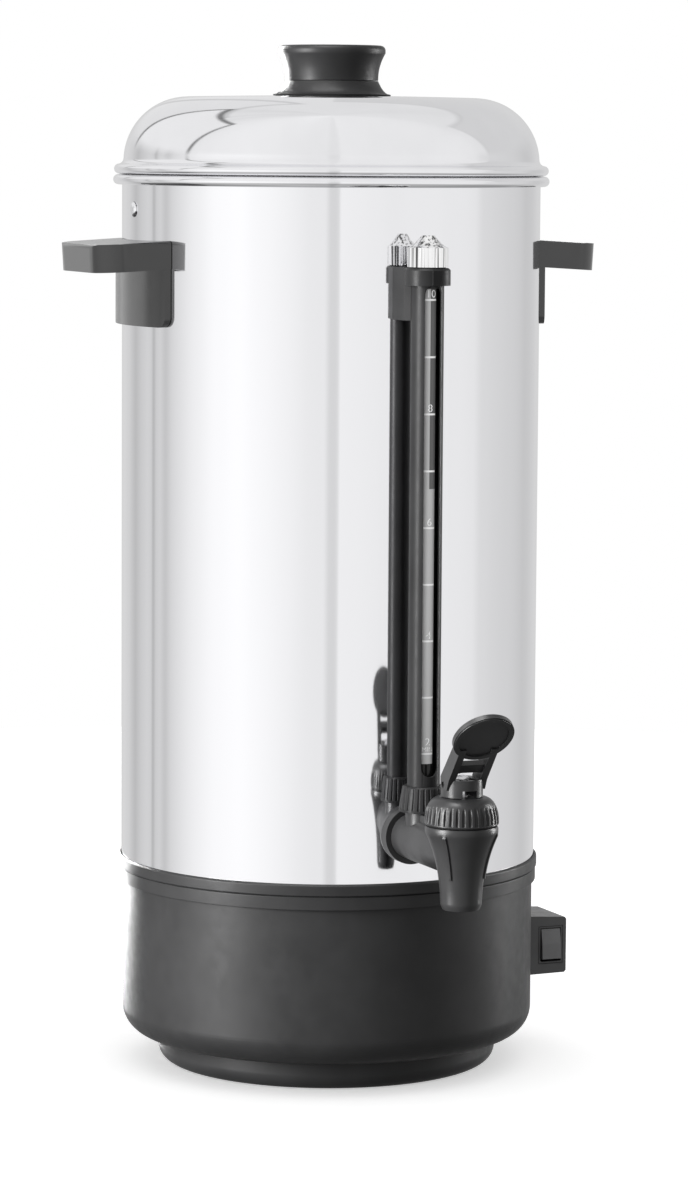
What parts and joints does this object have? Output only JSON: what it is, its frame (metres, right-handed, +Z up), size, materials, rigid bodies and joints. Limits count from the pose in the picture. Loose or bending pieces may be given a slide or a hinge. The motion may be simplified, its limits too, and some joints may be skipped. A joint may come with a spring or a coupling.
{
  "type": "hot water urn",
  "caption": "Electric hot water urn: steel tank with twist-lock lid, two side handles, sight gauge, lever tap and moulded base.",
  "frame": {"origin": "on the tank's axis, at the foot's flat underside", "axes": "+Z up along the tank's axis; the tap and gauge face -Y; the handles are on the X axis and the switch is at +X"},
  "size_m": [0.2766, 0.3211, 0.5261],
  "materials": {
    "mirror_steel": "bright rolled stainless steel, nearly mirror smooth",
    "lid_steel": "polished stainless steel",
    "inner_steel": "plain stainless steel",
    "bare_screws": "bright steel",
    "cap_chrome": "chromed",
    "knob_black": "satin phenolic",
    "handle_black": "gloss phenolic",
    "gauge_black": "satin nylon",
    "gauge_glass": "clear, with white printed marks",
    "rubber_black": "soft",
    "silicone_red": "soft",
    "silicone_clear": "soft, milky",
    "tap_black": "satin nylon",
    "base_black": "satin, finely textured",
    "switch_grey": "satin",
    "switch_black": "satin",
    "rocker_grey": "semi-gloss",
    "reset_red": "semi-gloss",
    "plate_aluminium": "cast",
    "element_steel": "heat-tinted",
    "ceramic": "matt",
    "brass_lugs": "plain",
    "copper_bulb": "copper",
    "wire_blue": "silicone sleeve",
    "wire_red": "silicone sleeve",
    "wire_yellow": "silicone sleeve"
  },
  "bodies": {
    "root": {"tank_shell": "mirror_steel", "tank_floor": "inner_steel", "lock_studs": "mirror_steel", "handle_left": "handle_black", "handle_right": "handle_black", "handle_screws": "bare_screws", "handle_washers": "silicone_red", "gauge_guard": "gauge_black", "gauge_glass": "gauge_glass", "gauge_seals": "rubber_black", "gauge_nut": "gauge_black", "gauge_bracket": "gauge_black", "gauge_bracket_screw": "bare_screws", "tap_body": "tap_black", "tap_flange": "tap_black", "tap_gasket": "rubber_black", "tap_lock_nut": "bare_screws", "tap_bonnet": "tap_black", "bonnet_gasket": "rubber_black", "tap_spring": "bare_screws", "base_collar": "base_black", "base_shell": "base_black", "base_foot": "base_black", "foot_screws": "bare_screws", "tie_rod": "bare_screws", "tie_washer": "bare_screws", "tie_nut": "bare_screws", "heater_plate": "plate_aluminium", "heating_element": "element_steel", "boil_thermostat": "ceramic", "warm_thermostat": "ceramic", "cutout_bulb": "copper_bulb", "cutout_breaker": "switch_black", "inlet_socket": "switch_black", "inlet_pins": "bare_screws", "inlet_screws": "bare_screws", "terminal_block": "ceramic", "switch_housing": "switch_grey", "switch_body": "switch_black", "switch_terminals": "brass_lugs", "supply_wires": "wire_blue", "switch_wires": "wire_red", "element_wires": "wire_yellow"},
    "lid_spindle": {"knob_screw": "bare_screws", "knob_washer": "bare_screws"},
    "lid": {"lid_shell": "lid_steel", "lid_collar": "inner_steel", "knob_skirt": "knob_black", "knob_grip": "knob_black"},
    "gauge_cap_seal": {"gauge_cap_seal": "rubber_black"},
    "gauge_cap": {"gauge_cap": "cap_chrome"},
    "valve": {"tap_stem": "bare_screws", "tap_seat_cup": "silicone_clear"},
    "lever": {"tap_lever": "tap_black", "lever_pin": "bare_screws"},
    "rocker": {"switch_rocker": "rocker_grey"},
    "reset_button": {"cutout_button": "reset_red"}
  },
  "joints": [
    {"name": "lid_lift", "type": "slide", "parent": "root", "child": "lid_spindle", "axis": [0, 0, 1], "range_m": [0, 0.12]},
    {"name": "lid_turn", "type": "hinge", "parent": "lid_spindle", "child": "lid", "pos_m": [0, 0, 0.5], "axis": [0, 0, 1], "range_deg": [0, 25]},
    {"name": "cap_rise", "type": "slide", "parent": "root", "child": "gauge_cap_seal", "axis": [0, 0, 1], "range_m": [0, 0.0045]},
    {"name": "cap_turn", "type": "hinge", "parent": "gauge_cap_seal", "child": "gauge_cap", "pos_m": [0, -0.126, 0.42], "axis": [0, 0, 1], "range_deg": [0, 1080]},
    {"name": "stem_lift", "type": "slide", "parent": "root", "child": "valve", "axis": [0, 0, 1], "range_m": [0, 0.004], "deforming": ["tap_spring"]},
    {"name": "lever_tilt", "type": "hinge", "parent": "valve", "child": "lever", "pos_m": [0, -0.173, 0.168], "axis": [1, 0, 0], "range_deg": [0, 25], "stiffness_Nm_per_rad": 0.4, "springref_deg": -5.73},
    {"name": "rocker_tilt", "type": "hinge", "parent": "root", "child": "rocker", "pos_m": [0.1213, -0.013, 0.054], "axis": [1, 0, 0], "range_deg": [0, 14]},
    {"name": "reset_press", "type": "slide", "parent": "root", "child": "reset_button", "axis": [-0.4384, -0.8988, 0], "range_m": [0, 0.0015], "stiffness_N_per_m": 200}
  ],
  "couplings": [
    {"joint": "cap_turn", "follows": "cap_rise", "rad_per_m": 4188.7},
    {"joint": "stem_lift", "follows": "lever_tilt", "m_per_rad": 0.009167}
  ]
}
